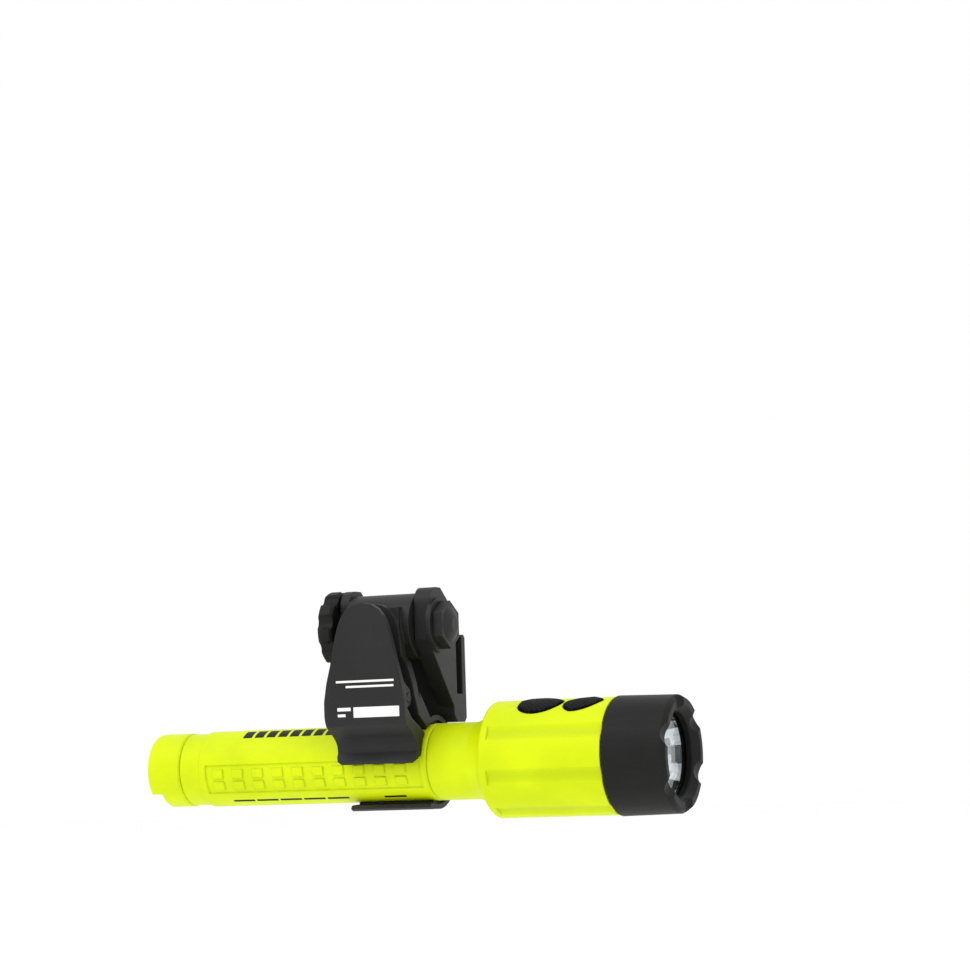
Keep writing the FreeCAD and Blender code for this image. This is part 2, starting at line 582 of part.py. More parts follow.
def clamp_parts():
    rear = "slot + rear_wall + boss_len"
    turned_y("clamp_insert", [("slot", "clamp_hole_r"), (rear, "clamp_hole_r"), (rear, "insert_r"),
                              ("slot", "insert_r")], "clamp_x", "clamp_z")
    pad = "clamp_pad_y + clamp_pad_t"
    turned_y("clamp_pad", [("clamp_pad_y", "0"), (pad, "0"), (pad, "clamp_pad_r - 0.4"),
                           (pad + " - 0.4", "clamp_pad_r"), ("clamp_pad_y", "clamp_pad_r")],
             "clamp_x", "clamp_z")
    head = rear + " + clamp_head_gap"
    turned_y("clamp_screw", [
        (pad, "0"), (head + " + clamp_head_t", "0"), (head + " + clamp_head_t", "clamp_head_r - 1"),
        (head + " + clamp_head_t - 1", "clamp_head_r"), (head + " + 1", "clamp_head_r"),
        (head, "clamp_head_r - 1"), (head, "clamp_screw_r + 1.4"), (head + " - 1", "clamp_screw_r"),
        (pad, "clamp_screw_r")], "clamp_x", "clamp_z")


# ---------------------------------------------------------------- hinge bolt and knob

def on_hinge(body):
    return at(body, "0", "hinge_y", "hinge_z")


def hinge_bolt():
    body = new_body("hinge_bolt")
    turn(body, "shank", [("bolt_end_x", 0), ("bolt_end_x", "bolt_r - 0.5"), ("bolt_end_x + 0.5", "bolt_r"),
                         ("ear_right_x1 + ear_ring_t", "bolt_r"), ("ear_right_x1 + ear_ring_t", 0)])
    corner = "hex_af / 2 / cos(30 deg)"

    def hexagon(sketch):
        outline(sketch, [("%s * %.6f" % (corner, math.cos(math.radians(60 * k + 30))),
                          "%s * %.6f" % (corner, math.sin(math.radians(60 * k + 30)))) for k in range(6)])
    extrude(body, "hex_head", "YZ_Plane", "hex_t", hexagon, offset="ear_right_x1 + ear_ring_t")
    top = "ear_right_x1 + ear_ring_t + hex_t"
    turn(body, "cap_dome", [(top + " - 0.1", 0), (top + " - 0.1", "hex_af / 2 - 1"), (top, "hex_af / 2 - 1"),
                            (top + " + dome_h", "2.5", "-9"), (top + " + dome_h", 0)])
    return node(on_hinge(body), "hinge_bolt")


def hinge_washer():
    body = new_body("knob_washer")
    turn(body, "washer", [("ear_left_x0 - washer_t", "bolt_r + 0.1"), ("ear_left_x0 - washer_t", "washer_r"),
                          ("ear_left_x0", "washer_r"), ("ear_left_x0", "bolt_r + 0.1")])
    return node(on_hinge(body), "knob_washer")


def knob():
    body = new_body("knob")
    inner = "ear_left_x0 - washer_t"
    outer = inner + " - knob_t"
    turn(body, "disc", [(outer, "0"), (outer, "knob_r - 1.2"), (outer + " + 1.2", "knob_r", "-1.2"),
                        (inner + " - 0.8", "knob_r"), (inner, "knob_r - 0.8"), (inner, "0")])
    turn(body, "hub", [(outer + " - knob_hub_h", "0"), (outer + " - knob_hub_h", "knob_hub_r - 0.6"),
                       (outer, "knob_hub_r"), (outer + " + 0.2", "knob_hub_r"), (outer + " + 0.2", "0")])
    cut = extrude(body, "lobe_cut", "YZ_Plane", "knob_t + 2",
                  lambda s: rings(s, [("0", "lobe_centre_r", "lobe_cut_r")]), offset=outer + " - 1", cut=True)
    repeat(body, "lobes", cut, "PolarPattern", "lobes", "360")
    turn(body, "insert_bore", [(inner + " - knob_insert_len", "0"),
                               (inner + " - knob_insert_len", "knob_insert_r"),
                               (inner + " + 1", "knob_insert_r"), (inner + " + 1", "0")], cut=True)
    return node(on_hinge(body), "knob")


def knob_insert():
    body = new_body("knob_insert")
    inner = "ear_left_x0 - washer_t"
    turn(body, "nut", [(inner + " - knob_insert_len", "bolt_hole_r"),
                       (inner + " - knob_insert_len", "knob_insert_r"),
                       (inner, "knob_insert_r"), (inner, "bolt_hole_r")])
    return node(on_hinge(body), "knob_insert")


# ---------------------------------------------------------------- clip

# In the clip's outlines u is y and v is z, both from the light's axis.

def on_axis(body):
    return at(body, "clip_x", "light_y", "light_z")


def polar(radius, angle):
    """Point at an angle from straight up, turning toward the front."""
    turned = math.radians(angle)
    return ("-(%s) * %.6f" % (radius, math.sin(turned)), "%s * %.6f" % (radius, math.cos(turned)))


# Half widths of the thumb plate and of the arm behind it, each at a drop below their top.
PLATE_EDGE = [("0.1", "0"), ("3.2", "0.6"), ("5.8", "2.2"), ("7.5", "4.4"), ("8.8", "7.2"), ("10", "11.4"),
              ("11.6", "19"), ("13.4", "26"), ("clip_half_w", "32")]
ARM_EDGE = [("0.1", "0"), ("3.2", "0.6"), ("5.8", "2.2"), ("7.5", "4.4"), ("8.7", "7.2"), ("9.4", "11.4"),
            ("9.7", "17"), ("11.7", "20"), ("13.4", "26"), ("clip_half_w", "32")]


def tab_shape(body, edges):
    """Trim the full width blank to a tab: a round top that widens to the full width."""
    for side, sign in (("left", "-1"), ("right", "1")):
        edge = [("%s * %s" % (sign, w), "arm_top - %s" % drop) for w, drop in edges]
        extrude(body, "tab_" + side, "XZ_Plane", "13 - arm_front",
                lambda s: outline(s, [("%s * 30" % sign, "arm_top + 1"), ("%s * 0.1" % sign, "arm_top + 1")]
                                  + edge + [("%s * 30" % sign, "arm_top - 32")]),
                offset="-(arm_back + 0.2)", cut=True)


def clip_rear_jaw():
    body = new_body("clip_rear_jaw")
    # The jaw is a C: over the tube, down its back and under it, then a lip that leads the tube in.
    extrude(body, "arm_and_jaw", "YZ_Plane", "2 * clip_half_w", lambda s: outline(s, [
        ("arm_front", "arm_top"), ("arm_front", "21"), ("-14.5", "15.5"), polar("jaw_in_r", 35),
        polar("jaw_in_r", 0) + ("-jaw_in_r",), polar("jaw_in_r", -90) + ("-jaw_in_r",),
        polar("jaw_in_r", -180) + ("-jaw_in_r",), polar("jaw_in_r", -195) + ("-jaw_in_r",),
        ("-6.8", "-13.6"), ("-7.6", "-14.8"), ("-6", "-15.5"), polar("jaw_out_r", -186),
        polar("jaw_out_r", -90) + ("jaw_out_r",), polar("jaw_out_r", 0) + ("jaw_out_r",),
        polar("jaw_out_r", 20) + ("jaw_out_r",), ("arm_back", "23"), ("arm_back", "arm_top")]),
        offset="-clip_half_w")
    tab_shape(body, ARM_EDGE)
    extrude(body, "barrel_neck", "YZ_Plane", "2 * neck_half_w", lambda s: outline(s, box_outline(
        "arm_front + 0.5", "hinge_y - light_y", "hinge_z - light_z - 6.5", "hinge_z - light_z + 6")),
        offset="-neck_half_w")
    extrude(body, "barrel", "YZ_Plane", "barrel_x1 - barrel_x0",
            lambda s: rings(s, [("hinge_y - light_y", "hinge_z - light_z", "barrel_r")]),
            offset="barrel_x0 - clip_x")
    for side, x in (("left", "-lug_x1"), ("right", "lug_x0")):
        extrude(body, "lug_" + side, "YZ_Plane", "lug_x1 - lug_x0", lambda s: outline(s, [
            ("arm_front + 0.5", "pivot_v + 6"), ("pivot_u", "pivot_v + lug_r - 0.5"),
            ("pivot_u - 2.2", "pivot_v + 1.6"), ("pivot_u - 2.2", "pivot_v - 1.6"),
            ("pivot_u", "pivot_v - lug_r + 0.5"), ("arm_front + 0.5", "pivot_v - 2.4")]), offset=x)
    extrude(body, "hinge_bore", "YZ_Plane", "3 * clip_half_w",
            lambda s: rings(s, [("hinge_y - light_y", "hinge_z - light_z", "bolt_hole_r")]),
            offset="-1.5 * clip_half_w", cut=True)
    extrude(body, "pin_bore", "YZ_Plane", "3 * clip_half_w",
            lambda s: rings(s, [("pivot_u", "pivot_v", "pin_r")]), offset="-1.5 * clip_half_w", cut=True)
    return node(on_axis(body), "clip_rear_jaw")


def clip_front_lever():
    body = new_body("clip_front_lever")
    extrude(body, "plate_and_jaw", "YZ_Plane", "2 * clip_half_w", lambda s: outline(s, [
        ("plate_front", "arm_top"), ("plate_front", "16.4"), ("-24.6", "12.2", "7"), ("-19.4", "8.8"),
        ("-16.8", "6", "-8"), ("-16.4", "3.8"), ("-18", "0.8"), ("-17", "-0.2"), ("-14.7", "1.8"),
        polar("jaw_in_r", 80), polar("jaw_in_r", 47) + ("-jaw_in_r",), ("-14.2", "11.6"), ("-20.2", "14.4"),
        ("plate_back", "17.5"), ("plate_back", "arm_top")]), offset="-clip_half_w")
    tab_shape(body, PLATE_EDGE)
    for side, sign in (("left", "-1"), ("right", "1")):
        side_x = sign + " * clip_half_w"
        extrude(body, "lip_corner_" + side, "XZ_Plane", "12", lambda s: outline(s, [
            (side_x + " * 1.1", "-2"), (side_x + " * 1.1", "2.4"), (side_x, "2.4"),
            (side_x + " * 0.965", "0.9"), (side_x + " * 0.9", "lip_low"), (side_x + " * 0.9", "-2")]),
            offset="-(arm_back + 0.2)", cut=True)
    for side, x in (("left", "-cheek_x1"), ("right", "cheek_x0")):
        extrude(body, "cheek_" + side, "YZ_Plane", "cheek_x1 - cheek_x0", lambda s: outline(s, [
            ("plate_back - 0.5", "pivot_v + 5.4"), ("plate_back - 0.5", "pivot_v - 5"),
            ("-21", "pivot_v - 3"),
            ("-18.9", "pivot_v - 2.3"), ("-17.7", "pivot_v"), ("-18.9", "pivot_v + 2.6")]), offset=x)
    extrude(body, "pin_bore", "YZ_Plane", "3 * clip_half_w",
            lambda s: rings(s, [("pivot_u", "pivot_v", "pin_hole_r")]), offset="-1.5 * clip_half_w", cut=True)
    return node(on_axis(body), "clip_front_lever")


def jaw_pads():
    for name, stations in (("jaw_pad_rear", (33, -90, -193)), ("jaw_pad_front", (79, 64, 49))):
        body = new_body(name)
        a, b, c = stations
        spin = "-" if name == "jaw_pad_rear" else ""
        back = "" if name == "jaw_pad_rear" else "-"
        points = [polar("pad_in_r", a), polar("pad_in_r", b) + (spin + "pad_in_r",),
                  polar("pad_in_r", c) + (spin + "pad_in_r",), polar("jaw_in_r", c),
                  polar("jaw_in_r", b) + (back + "jaw_in_r",), polar("jaw_in_r", a) + (back + "jaw_in_r",)]
        if name == "jaw_pad_front":
            points = [polar("pad_in_r", a), polar("pad_in_r", c) + ("-pad_in_r",), polar("jaw_in_r", c),
                      polar("jaw_in_r", a) + ("jaw_in_r",)]
        extrude(body, name + "_strip", "YZ_Plane", "2 * clip_half_w - 2", lambda s: outline(s, points),
                offset="-clip_half_w + 1")
        node(on_axis(body), name)


def pivot_pin():
    pin = doc.addObject("Part::Cylinder", "pivot_pin")
    drive(pin, "Radius", "pin_r")
    drive(pin, "Height", "2 * pin_half_len")
    pin.Placement = FreeCAD.Placement(
        FreeCAD.Vector(size("clip_x - pin_half_len"), size("light_y + pivot_u"), size("light_z + pivot_v")),
        FreeCAD.Rotation(FreeCAD.Vector(0, 1, 0), 90))
    for axis, formula in (("x", "clip_x - pin_half_len"), ("y", "light_y + pivot_u"),
                          ("z", "light_z + pivot_v")):
        pin.setExpression("Placement.Base." + axis, bound(formula))
    return node(pin, "pivot_pin")


def clip_spring():
    sweep, lay, start = coil("clip_spring", "clip_x - spring_half_len", "spring_pitch", "2 * spring_half_len",
                             "spring_coil_r", "spring_wire_r")
    sweep.Placement = FreeCAD.Placement(
        FreeCAD.Vector(size(start), size("light_y + pivot_u"), size("light_z + pivot_v")), lay)
    for axis, formula in (("x", start), ("y", "light_y + pivot_u"), ("z", "light_z + pivot_v")):
        sweep.setExpression("Placement.Base." + axis, bound(formula))
    return node(sweep, "clip_spring")


def build():
    tail_cap()
    tail_contact()
    tail_spring()
    torus("tail_o_ring", "tail_oring_x", "oring_r", "oring_wire_r")
    battery_tube()
    cell("battery_cell_rear", "cell_start_x")
    cell("battery_cell_front", "cell_start_x + cell_len")
    head_housing()
    optics()
    torus("bezel_o_ring", "bezel_oring_x", "bezel_oring_r", "bezel_oring_wire_r")
    bezel()
    node(slab("switch_board", "board_x0", "board_x1", "board_half_w", "board_z", "board_t"), "switch_board")
    tact_switch("rear_switch", "rear_switch_x")
    tact_switch("front_switch", "front_switch_x")
    plunger("rear_plunger", "rear_switch_x")
    plunger("front_plunger", "front_switch_x")
    button("rear_button", REAR_BUTTON)
    button("front_button", FRONT_BUTTON)
    flood_lights()
    brim_bracket()
    clamp_parts()
    hinge_bolt()
    hinge_washer()
    knob()
    knob_insert()
    clip_rear_jaw()
    clip_front_lever()
    jaw_pads()
    pivot_pin()
    clip_spring()


def check_and_write():
    doc.recompute()
    bad = []
    for item in doc.Objects:
        if {"Invalid", "Error"} & set(item.State):
            bad.append("%s %s" % (item.Name, item.State))
    for item in NODES:
        if item.Shape.isNull() or not item.Shape.isValid() or len(item.Shape.Solids) != 1:
            bad.append("%s solids %d valid %s" % (item.Label, len(item.Shape.Solids), item.Shape.isValid()))
    if bad:
        raise RuntimeError("; ".join(bad))
    os.makedirs("parts", exist_ok=True)
    for item in NODES:
        item.Shape.exportStep("parts/%s.step" % item.Label)


build()
check_and_write()
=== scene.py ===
import math

import bpy
from mathutils import Matrix, Vector


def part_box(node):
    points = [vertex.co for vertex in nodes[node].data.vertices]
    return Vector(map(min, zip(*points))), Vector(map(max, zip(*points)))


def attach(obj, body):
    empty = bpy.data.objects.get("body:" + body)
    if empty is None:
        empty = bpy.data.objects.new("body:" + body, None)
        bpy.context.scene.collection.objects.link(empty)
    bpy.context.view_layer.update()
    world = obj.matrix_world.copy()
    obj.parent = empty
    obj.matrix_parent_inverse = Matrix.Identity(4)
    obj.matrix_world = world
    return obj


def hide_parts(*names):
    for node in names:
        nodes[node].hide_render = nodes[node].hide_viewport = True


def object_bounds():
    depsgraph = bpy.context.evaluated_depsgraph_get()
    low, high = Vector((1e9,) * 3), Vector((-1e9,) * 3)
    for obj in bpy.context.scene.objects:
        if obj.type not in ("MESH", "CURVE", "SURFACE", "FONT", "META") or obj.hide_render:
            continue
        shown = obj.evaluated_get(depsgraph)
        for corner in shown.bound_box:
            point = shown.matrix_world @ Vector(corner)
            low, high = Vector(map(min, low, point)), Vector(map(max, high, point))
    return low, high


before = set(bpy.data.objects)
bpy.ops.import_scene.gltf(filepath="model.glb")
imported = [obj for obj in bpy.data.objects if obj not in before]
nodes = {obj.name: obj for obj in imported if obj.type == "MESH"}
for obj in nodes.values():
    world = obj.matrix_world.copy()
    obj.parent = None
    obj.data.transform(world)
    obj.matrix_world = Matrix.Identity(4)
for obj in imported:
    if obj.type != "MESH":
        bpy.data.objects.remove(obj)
cad_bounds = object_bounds()

MM = 0.001
LIGHT_Y, LIGHT_Z = -10.5 * MM, -33 * MM       # axis of the light
ROLL = math.radians(18)                       # the light is turned so its keys face up and outward
WAVE = 0.314                                  # a wave texture's scale is this over the length of one wave

FLUTES = (45, 90, 135, 225, 270, 315)         # degrees round the head from its top
FLUTE_HALF = 8                                # degrees from the middle of a flute to its edge
HEAD_START = 40.2 * MM
CUP_SECTORS, CUP_RINGS = 28, 7                # flat facets of the reflector, round it and along it
CUP_THROAT, CUP_MOUTH = 4.2 * MM, 14.0 * MM
THREAD_R, THREAD_PITCH, THREAD_TURNS = 17.2 * MM, 1.5 * MM, 5
CELL_LEN, CELL_JOINT = 50.5 * MM, -27.2 * MM  # length of one cell, and where the two meet
CELL_BAND = 13 * MM


# ------------------------------------------------------------------ materials

def srgb(text):
    """Linear colour from an sRGB hex value."""
    parts = [int(text[i:i + 2], 16) / 255 for i in (1, 3, 5)]
    return tuple(c / 12.92 if c <= 0.04045 else ((c + 0.055) / 1.055) ** 2.4 for c in parts) + (1.0,)


def grey(value):
    return (value, value, value, 1.0)


def add(tree, kind, settings=None, links=None, **properties):
    """Add one node: its properties, its input values, and what feeds its inputs."""
    made = tree.nodes.new(kind)
    for name, value in properties.items():
        setattr(made, name, value)
    for name, value in (settings or {}).items():
        made.inputs[name].default_value = value
    for name, source in (links or {}).items():
        tree.links.new(source, made.inputs[name])
    return made


def new_material(name):
    made = bpy.data.materials.new(name)
    made.use_nodes = True
    tree = made.node_tree
    tree.nodes.clear()
    shader = add(tree, "ShaderNodeBsdfPrincipled")
    add(tree, "ShaderNodeOutputMaterial", links={"Surface": shader.outputs[0]})
    where = add(tree, "ShaderNodeTexCoord").outputs["Object"]
    return made, tree, shader, where


def ramp(tree, source, stops):
    """Colour ramp with (position, colour) stops."""
    made = add(tree, "ShaderNodeValToRGB", links={"Fac": source})
    elements = made.color_ramp.elements
    while len(elements) < len(stops):
        elements.new(0.5)
    for element, (position, colour) in zip(elements, stops):
        element.position = position
        element.color = colour
    return made.outputs["Color"]


def noise(tree, where, size_mm, detail=2.0, stretch=None):
    """Noise whose blobs are about size_mm across, drawn out along an axis if stretch is given."""
    if stretch:
        where = add(tree, "ShaderNodeMapping", {"Scale": stretch}, {"Vector": where}).outputs["Vector"]
    return add(tree, "ShaderNodeTexNoise", {"Scale": 1 / (size_mm * MM), "Detail": detail},
               {"Vector": where}).outputs["Fac"]


def math_node(tree, operation, a, b, c=None):
    made = add(tree, "ShaderNodeMath", operation=operation)
    for socket, value in zip(made.inputs, (a, b, c)):
        if value is None:
            continue
        if isinstance(value, (int, float)):
            socket.default_value = value
        else:
            tree.links.new(value, socket)
    return made.outputs["Value"]


def blend(tree, amount, under, over):
    """Lay one colour over another; a colour is a fixed value or a socket."""
    made = add(tree, "ShaderNodeMix", data_type="RGBA")
    tree.links.new(amount, made.inputs["Factor"])
    for name, value in (("A", under), ("B", over)):
        socket = [s for s in made.inputs if s.name == name and s.type == "RGBA"][0]
        if hasattr(value, "is_linked"):
            tree.links.new(value, socket)
        else:
            socket.default_value = value
    return [s for s in made.outputs if s.type == "RGBA"][0]


def edges(tree, radius_mm):
    """Rounded-edge normal, and a mask that is bright where an edge is."""
    soft = add(tree, "ShaderNodeBevel", {"Radius": radius_mm * MM}, samples=6).outputs["Normal"]
    flat = add(tree, "ShaderNodeNewGeometry").outputs["Normal"]
    dot = add(tree, "ShaderNodeVectorMath", links={0: soft, 1: flat}, operation="DOT_PRODUCT")
    return soft, math_node(tree, "SUBTRACT", 1.0, dot.outputs["Value"])


def raise_bump(tree, shader, height, strength, depth_mm, soft=None):
    """Turn a height into the surface's bump, on top of the rounded-edge normal if there is one."""
    links = {"Height": height}
    if soft is not None:
        links["Normal"] = soft
    bump = add(tree, "ShaderNodeBump", {"Strength": strength, "Distance": depth_mm * MM}, links)
    tree.links.new(bump.outputs["Normal"], shader.inputs["Normal"])


def from_axis(tree, where):
    """The same coordinates measured from the light's axis."""
    return add(tree, "ShaderNodeMapping", {"Location": (0, -LIGHT_Y, -LIGHT_Z)},
               {"Vector": where}).outputs["Vector"]


def printed(tree, where, bars):
    """Mask of plain printed bars, each (x, half length, z, half height) in mm, on the side facing -y."""
    split = add(tree, "ShaderNodeSeparateXYZ", links={"Vector": where})
    mask = None
    for x, half_x, z, half_z in bars:
        across = math_node(tree, "COMPARE", split.outputs["X"], x * MM, half_x * MM)
        up = math_node(tree, "COMPARE", split.outputs["Z"], z * MM, half_z * MM)
        bar = math_node(tree, "MULTIPLY", across, up)
        mask = bar if mask is None else math_node(tree, "MAXIMUM", mask, bar)
    front = math_node(tree, "LESS_THAN", split.outputs["Y"], LIGHT_Y)
    return math_node(tree, "MULTIPLY", mask, front)


def moulded(name, light, dark, rough, grain_mm=0.45, grain_depth=0.03, edge_mm=0.35, worn=None,
            bars=None, ink=None, scuffs=0.08, gloss=0.5):
    """Injection moulded plastic.  Slow clouds in the colour, a fine grain that breaks up the highlight,
    long faint scuffs that show only in the gloss, and edges rubbed a little paler."""
    made, tree, shader, where = new_material(name)
    colour = ramp(tree, noise(tree, where, 16, 3), [(0.35, dark), (0.65, light)])
    grain = noise(tree, where, grain_mm)
    speck = ramp(tree, grain, [(0.35, grey(0.0)), (0.8, grey(0.12))])
    colour = blend(tree, speck, colour, dark)
    soft, edge = edges(tree, edge_mm)
    if worn:
        rub = math_node(tree, "MULTIPLY", edge, noise(tree, where, 2.5, 4))
        colour = blend(tree, ramp(tree, rub, [(0.02, grey(0)), (0.2, grey(0.55))]), colour, worn)
    if bars:
        colour = blend(tree, printed(tree, where, bars), colour, ink)
    tree.links.new(colour, shader.inputs["Base Color"])
    scuff = noise(tree, where, 1.2, 5, stretch=(0.08, 1.0, 0.6))
    rub_gloss = math_node(tree, "MULTIPLY_ADD", scuff, 2 * scuffs, rough - scuffs)
    rub_gloss = math_node(tree, "MULTIPLY_ADD", grain, 0.1, rub_gloss)
    tree.links.new(rub_gloss, shader.inputs["Roughness"])
    raise_bump(tree, shader, grain, 0.6, grain_depth, soft)
    shader.inputs["Specular IOR Level"].default_value = gloss
    return made


def fluted(material):
    """Deepens the colour along the shallow flutes of the head, where their sides shade each other."""
    tree = material.node_tree
    shader = tree.nodes["Principled BSDF"]
    where = tree.nodes["Texture Coordinate"].outputs["Object"]
    flat = add(tree, "ShaderNodeVectorMath", {1: (0, 1, 1)}, {0: from_axis(tree, where)},
               operation="MULTIPLY")
    outward = add(tree, "ShaderNodeVectorMath", links={0: flat.outputs["Vector"]}, operation="NORMALIZE")
    nearest = None
    for turn in FLUTES:
        angle = math.radians(turn) - ROLL
        middle = (0, math.sin(angle), math.cos(angle))
        dot = add(tree, "ShaderNodeVectorMath", {1: middle}, {0: outward.outputs["Vector"]},
                  operation="DOT_PRODUCT").outputs["Value"]
        nearest = dot if nearest is None else math_node(tree, "MAXIMUM", nearest, dot)
    edge = math.cos(math.radians(FLUTE_HALF))
    depth = math_node(tree, "MULTIPLY_ADD", nearest, 1 / (1 - edge), -edge / (1 - edge))
    station = add(tree, "ShaderNodeSeparateXYZ", links={"Vector": where}).outputs["X"]
    on_head = math_node(tree, "GREATER_THAN", station, HEAD_START)
    shade = math_node(tree, "MULTIPLY", ramp(tree, depth, [(0.0, grey(0)), (1.0, grey(0.36))]), on_head)
    under = shader.inputs["Base Color"].links[0].from_socket
    tree.links.new(blend(tree, shade, under, srgb("#AEC200")), shader.inputs["Base Color"])
    return material


def hatched_rubber():
    """Moulded silicone keys: matte black, cut by two crossing sets of fine ridges so that a thumb grips."""
    made, tree, shader, where = new_material("hatched silicone key")
    flat = add(tree, "ShaderNodeMapping", {"Rotation": (-ROLL, 0, 0)}, {"Vector": where}).outputs["Vector"]
    height = None
    for turn in (45, -45):
        set_of = add(tree, "ShaderNodeMapping", {"Rotation": (0, 0, math.radians(turn))}, {"Vector": flat})
        ridge = add(tree, "ShaderNodeTexWave", {"Scale": WAVE / (1.3 * MM), "Distortion": 0.0},
                    {"Vector": set_of.outputs["Vector"]}, bands_direction="X").outputs["Fac"]
        height = ridge if height is None else math_node(tree, "MULTIPLY", height, ridge)
    dust = noise(tree, where, 0.5, 4)
    # The grooves between the ridges are painted darker than their tops: painted shade in the grooves.
    colour = ramp(tree, height, [(0.0, srgb("#060607")), (0.7, srgb("#161618"))])
    dusty = ramp(tree, dust, [(0.5, grey(0)), (0.9, grey(0.12))])
    tree.links.new(blend(tree, dusty, colour, srgb("#28282A")), shader.inputs["Base Color"])
    tree.links.new(math_node(tree, "MULTIPLY_ADD", dust, 0.2, 0.55), shader.inputs["Roughness"])
    shader.inputs["Specular IOR Level"].default_value = 0.1
    raise_bump(tree, shader, height, 0.9, 0.22, edges(tree, 0.5)[0])
    return made


def metal(name, light, dark, rough):
    """Bare metal: brushed or turned lines in the gloss, and slow darker stains."""
    made, tree, shader, where = new_material(name)
    stain = noise(tree, where, 5, 4)
    tree.links.new(ramp(tree, stain, [(0.35, dark), (0.65, light)]), shader.inputs["Base Color"])
    lines = noise(tree, where, 0.25, 3, stretch=(0.05, 1.0, 1.0))
    tree.links.new(math_node(tree, "MULTIPLY_ADD", lines, 0.2, rough - 0.1), shader.inputs["Roughness"])
    raise_bump(tree, shader, lines, 0.5, 0.004, edges(tree, 0.15)[0])
    shader.inputs["Metallic"].default_value = 1.0
    return made


def mirror_cup():
    """Vacuum metallised reflector: bright aluminium with the fine rings that the mould's turning leaves.
    Each facet takes its own tone: some are painted dark, a painted reflection of the dark bezel, and the rest
    mirror the open air."""
    made, tree, shader, where = new_material("vacuum metallised reflector")
    centred = from_axis(tree, where)
    rings = add(tree, "ShaderNodeTexWave", {"Scale": WAVE / (1.6 * MM), "Distortion": 0.0},
                {"Vector": centred}, wave_type="RINGS", rings_direction="X").outputs["Fac"]
    haze = noise(tree, where, 3, 4)
    split = add(tree, "ShaderNodeSeparateXYZ", links={"Vector": centred})
    across, up = split.outputs["Y"], split.outputs["Z"]
    angle = math_node(tree, "ARCTAN2", up, across)
    sector = math_node(tree, "FLOOR", math_node(tree, "MULTIPLY", angle, CUP_SECTORS / math.tau), 0.0)
    squares = math_node(tree, "ADD", math_node(tree, "POWER", up, 2.0),
                        math_node(tree, "POWER", across, 2.0))
    rings_a_metre = CUP_RINGS / (CUP_MOUTH - CUP_THROAT)
    out = math_node(tree, "MULTIPLY_ADD", math_node(tree, "SQRT", squares, 0.0), rings_a_metre,
                    -rings_a_metre * CUP_THROAT)
    facet = add(tree, "ShaderNodeCombineXYZ", links={"X": sector, "Y": math_node(tree, "FLOOR", out, 0.0)})
    draw = add(tree, "ShaderNodeTexWhiteNoise", links={"Vector": facet.outputs["Vector"]},
               noise_dimensions="2D").outputs["Value"]
    bright = ramp(tree, haze, [(0.3, srgb("#E9EBEE")), (0.7, srgb("#F6F7F8"))])
    # Facets drawn at random are painted dark: a painted reflection of the dark bezel.
    dim = ramp(tree, draw, [(0.34, grey(0.85)), (0.36, grey(0.3)), (0.6, grey(0.0))])
    tree.links.new(blend(tree, dim, bright, srgb("#1B1C1E")), shader.inputs["Base Color"])
    tree.links.new(math_node(tree, "MULTIPLY_ADD", haze, 0.06, 0.01), shader.inputs["Roughness"])
    raise_bump(tree, shader, rings, 0.1, 0.03)
    shader.inputs["Metallic"].default_value = 1.0
    return made


def clear_plastic(name, ribs_mm=0.0):
    """Polycarbonate window: clear, with faint wipe haze, and moulded ribs where it spreads the beam."""
    made, tree, shader, where = new_material(name)
    haze = noise(tree, where, 4, 5, stretch=(1.0, 0.3, 1.0))
    tree.links.new(ramp(tree, haze, [(0.4, grey(0.0)), (0.8, grey(0.03))]), shader.inputs["Roughness"])
    tint = ramp(tree, haze, [(0.3, srgb("#F7FAFB")), (0.7, srgb("#EEF4F6"))])
    tree.links.new(tint, shader.inputs["Base Color"])
    if ribs_mm:
        ribs = add(tree, "ShaderNodeTexWave", {"Scale": WAVE / (ribs_mm * MM)}, {"Vector": where},
                   bands_direction="X").outputs["Fac"]
        raise_bump(tree, shader, ribs, 0.6, 0.2)
    shader.inputs["Transmission Weight"].default_value = 1.0
    shader.inputs["IOR"].default_value = 1.58
    return made


def circuit_board():
    """Fibreglass board: green solder mask over the faint grid of the weave, and paler copper tracks."""
    made, tree, shader, where = new_material("solder masked circuit board")
    threads = {"Scale": 1 / (0.8 * MM), "Color1": srgb("#1C6638"), "Color2": srgb("#185C31")}
    weave = add(tree, "ShaderNodeTexChecker", threads, {"Vector": where}).outputs["Color"]
    lines = {"Scale": 1 / (3 * MM), "Color1": grey(0), "Color2": grey(0), "Mortar": grey(1), "Mortar Size": 0.04}
    tracks = add(tree, "ShaderNodeTexBrick", lines, {"Vector": where}).outputs["Color"]
    tree.links.new(blend(tree, tracks, weave, srgb("#3B9158")), shader.inputs["Base Color"])
    gloss = math_node(tree, "MULTIPLY_ADD", noise(tree, where, 1), 0.2, 0.25)
    tree.links.new(gloss, shader.inputs["Roughness"])
    return made


def phosphor_dome():
    """Silicone over yellow phosphor: soft, slightly waxy yellow."""
    made, tree, shader, where = new_material("silicone over yellow phosphor")
    tree.links.new(ramp(tree, noise(tree, where, 0.8, 3), [(0.3, srgb("#E9CF4E")), (0.7, srgb("#F6E58C"))]),
                   shader.inputs["Base Color"])
    gloss = math_node(tree, "MULTIPLY_ADD", noise(tree, where, 0.6), 0.15, 0.12)
    tree.links.new(gloss, shader.inputs["Roughness"])
    return made


